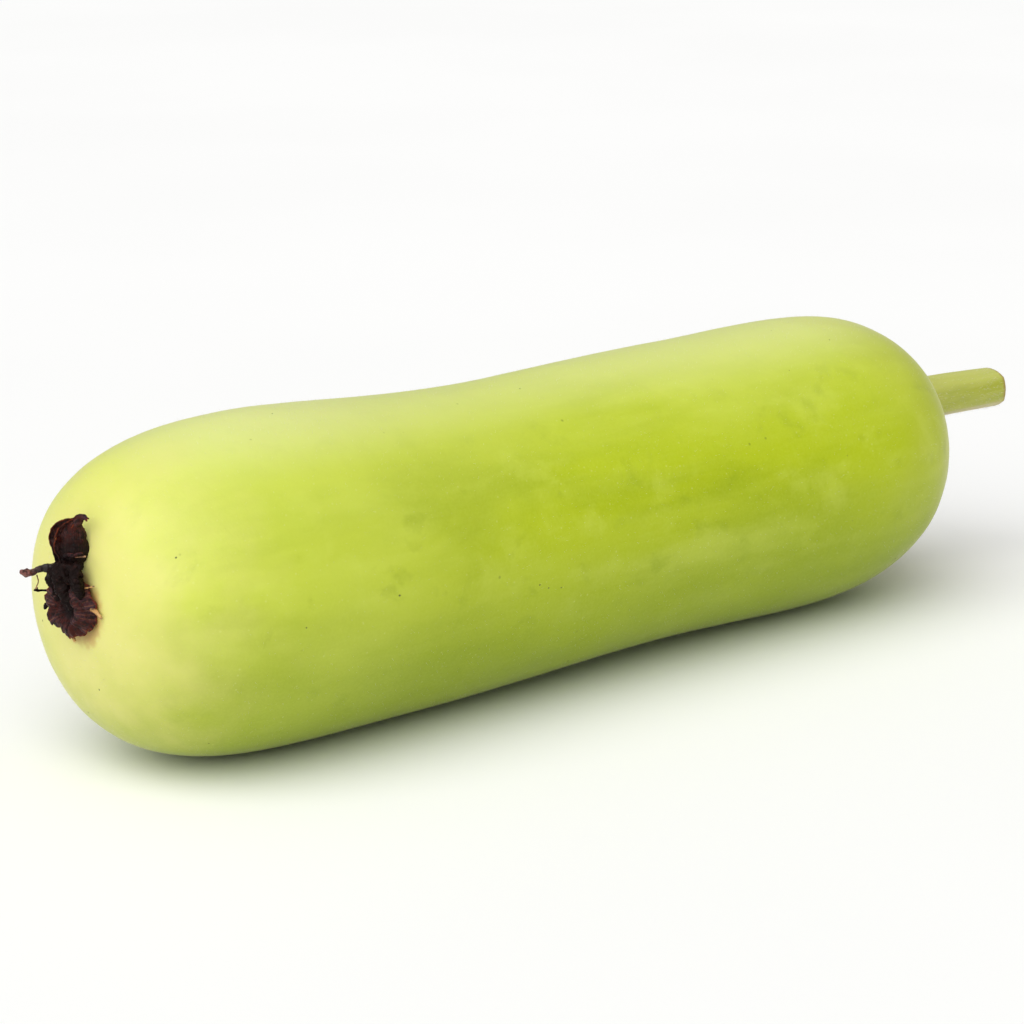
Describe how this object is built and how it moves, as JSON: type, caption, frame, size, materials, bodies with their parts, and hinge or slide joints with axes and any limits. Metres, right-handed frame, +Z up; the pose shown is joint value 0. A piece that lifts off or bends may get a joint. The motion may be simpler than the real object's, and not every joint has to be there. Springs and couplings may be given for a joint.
{
  "type": "bottle gourd",
  "caption": "Long pale green gourd with a slight waist, lying on its side, with a short ridged cut stem at one end and a withered brown flower at the other.",
  "frame": {"origin": "middle of the whole gourd's length and width, flower and stem included, on the surface it rests on", "axes": "+X along the fruit towards the cut stem, so the withered flower is at -X; +Z up from the resting surface"},
  "size_m": [0.3745, 0.0909, 0.091],
  "materials": {
    "fruit_skin": "smooth satin skin, pale yellow green with faint mottling along its length and a bloom of very fine down",
    "stem_rind": "satin green rind with soft ridges and a browned cut rim",
    "withered_petal": "dry crumpled petal, dark red brown with rust coloured edges",
    "dried_calyx": "shrivelled, nearly black, with a slight waxy sheen",
    "dried_style": "dry brown, pinkish at the tip"
  },
  "bodies": {
    "root": {"fruit": "fruit_skin", "stem": "stem_rind", "withered_calyx": "dried_calyx", "withered_throat": "dried_calyx", "dried_style": "dried_style", "withered_petal_1": "withered_petal", "withered_petal_2": "withered_petal", "withered_petal_3": "withered_petal", "withered_petal_4": "withered_petal", "withered_petal_5": "withered_petal", "dried_sepal_1": "dried_calyx", "dried_sepal_2": "dried_calyx", "dried_sepal_3": "dried_calyx", "dried_sepal_4": "dried_calyx", "dried_sepal_5": "dried_calyx"}
  },
  "joints": []
}
